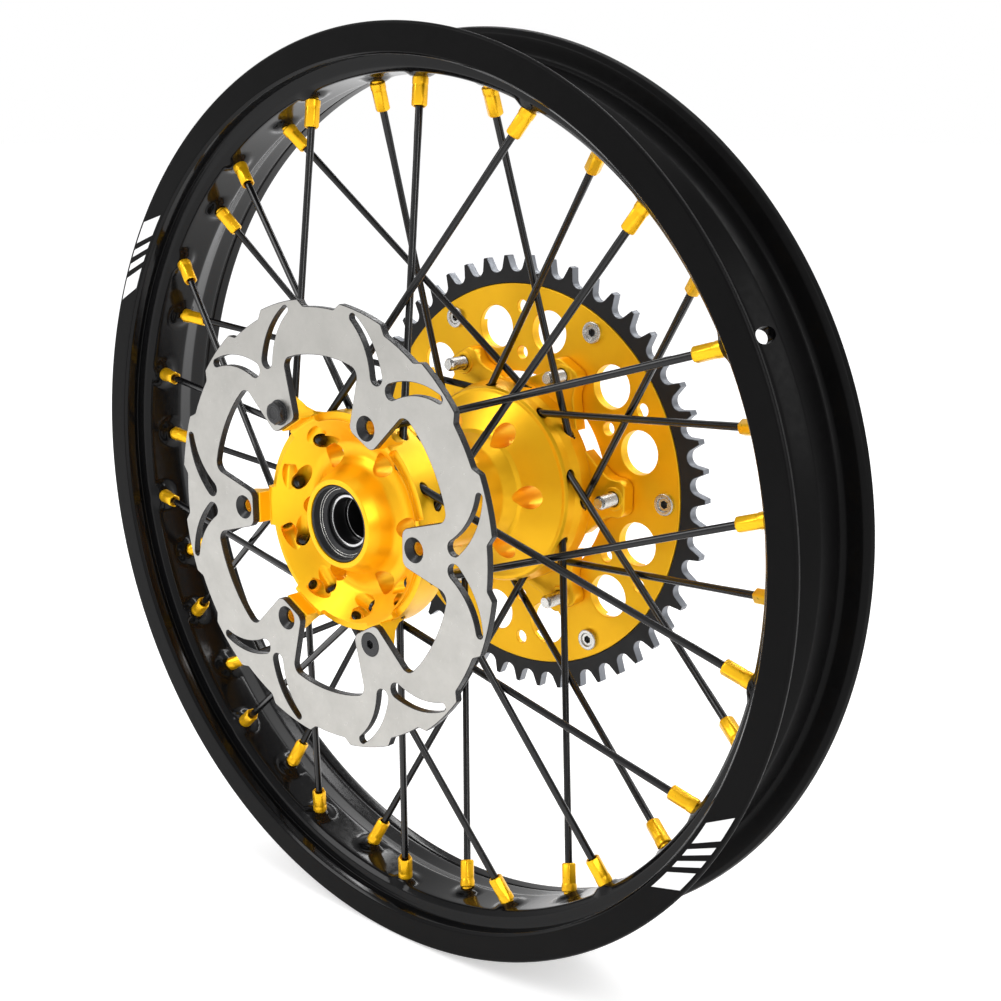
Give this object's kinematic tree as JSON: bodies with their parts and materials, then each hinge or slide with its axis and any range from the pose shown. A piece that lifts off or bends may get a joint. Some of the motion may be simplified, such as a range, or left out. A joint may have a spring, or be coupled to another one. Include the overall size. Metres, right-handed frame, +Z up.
{
  "type": "motorcycle wheel",
  "caption": "Laced rear wheel of an off-road motorcycle with machined hub, wave brake disc, two-piece chain sprocket and sealed bearings, without tyre or axle.",
  "frame": {"origin": "wheel centre: on the axle line, in the middle plane of the rim", "axes": "+Y along the axle towards the sprocket, -Y towards the brake disc, +X forwards, +Z up"},
  "size_m": [0.5106, 0.175, 0.5106],
  "materials": {
    "rim_black": "gloss",
    "spoke_black": "satin",
    "anodised_gold": "satin",
    "disc_steel": "satin",
    "bolt_black": "satin",
    "sprocket_black": "satin",
    "bolt_steel": "gloss",
    "bearing_steel": "gloss",
    "seal_rubber": "matte"
  },
  "bodies": {
    "root": {"spacer_tube": "bearing_steel", "bearing_inner_race_disc": "bearing_steel", "bearing_inner_race_drive": "bearing_steel"},
    "wheel": {"rim": "rim_black", "spoke_disc_lead_1": "spoke_black", "spoke_disc_lead_2": "spoke_black", "spoke_disc_lead_3": "spoke_black", "spoke_disc_lead_4": "spoke_black", "spoke_disc_lead_5": "spoke_black", "spoke_disc_lead_6": "spoke_black", "spoke_disc_lead_7": "spoke_black", "spoke_disc_lead_8": "spoke_black", "spoke_disc_lead_9": "spoke_black", "spoke_disc_trail_1": "spoke_black", "spoke_disc_trail_2": "spoke_black", "spoke_disc_trail_3": "spoke_black", "spoke_disc_trail_4": "spoke_black", "spoke_disc_trail_5": "spoke_black", "spoke_disc_trail_6": "spoke_black", "spoke_disc_trail_7": "spoke_black", "spoke_disc_trail_8": "spoke_black", "spoke_disc_trail_9": "spoke_black", "spoke_drive_lead_1": "spoke_black", "spoke_drive_lead_2": "spoke_black", "spoke_drive_lead_3": "spoke_black", "spoke_drive_lead_4": "spoke_black", "spoke_drive_lead_5": "spoke_black", "spoke_drive_lead_6": "spoke_black", "spoke_drive_lead_7": "spoke_black", "spoke_drive_lead_8": "spoke_black", "spoke_drive_lead_9": "spoke_black", "spoke_drive_trail_1": "spoke_black", "spoke_drive_trail_2": "spoke_black", "spoke_drive_trail_3": "spoke_black", "spoke_drive_trail_4": "spoke_black", "spoke_drive_trail_5": "spoke_black", "spoke_drive_trail_6": "spoke_black", "spoke_drive_trail_7": "spoke_black", "spoke_drive_trail_8": "spoke_black", "spoke_drive_trail_9": "spoke_black", "hub": "anodised_gold", "brake_disc": "disc_steel", "disc_bolt_hex": "bolt_black", "disc_bolt_countersunk": "bolt_black", "sprocket_ring": "sprocket_black", "sprocket_carrier": "anodised_gold", "sprocket_bolt_1": "bolt_steel", "sprocket_bolt_2": "bolt_steel", "sprocket_bolt_3": "bolt_steel", "sprocket_bolt_4": "bolt_steel", "sprocket_bolt_5": "bolt_steel", "sprocket_bolt_6": "bolt_steel", "bearing_outer_race_disc": "bearing_steel", "bearing_outer_race_drive": "bearing_steel", "seal_disc": "seal_rubber", "seal_drive": "seal_rubber"},
    "balls_disc": {"bearing_balls_disc": "bearing_steel"},
    "balls_drive": {"bearing_balls_drive": "bearing_steel"}
  },
  "joints": [
    {"name": "wheel_spin", "type": "hinge", "parent": "root", "child": "wheel", "pos_m": [0, 0, 0], "axis": [0, 1, 0], "continuous": true},
    {"name": "balls_disc_spin", "type": "hinge", "parent": "root", "child": "balls_disc", "pos_m": [0, -0.0585, 0], "axis": [0, 1, 0], "continuous": true},
    {"name": "balls_drive_spin", "type": "hinge", "parent": "root", "child": "balls_drive", "pos_m": [0, 0.0605, 0], "axis": [0, 1, 0], "continuous": true}
  ],
  "couplings": [
    {"joint": "balls_disc_spin", "follows": "wheel_spin", "ratio": 0.555},
    {"joint": "balls_drive_spin", "follows": "wheel_spin", "ratio": 0.555}
  ]
}
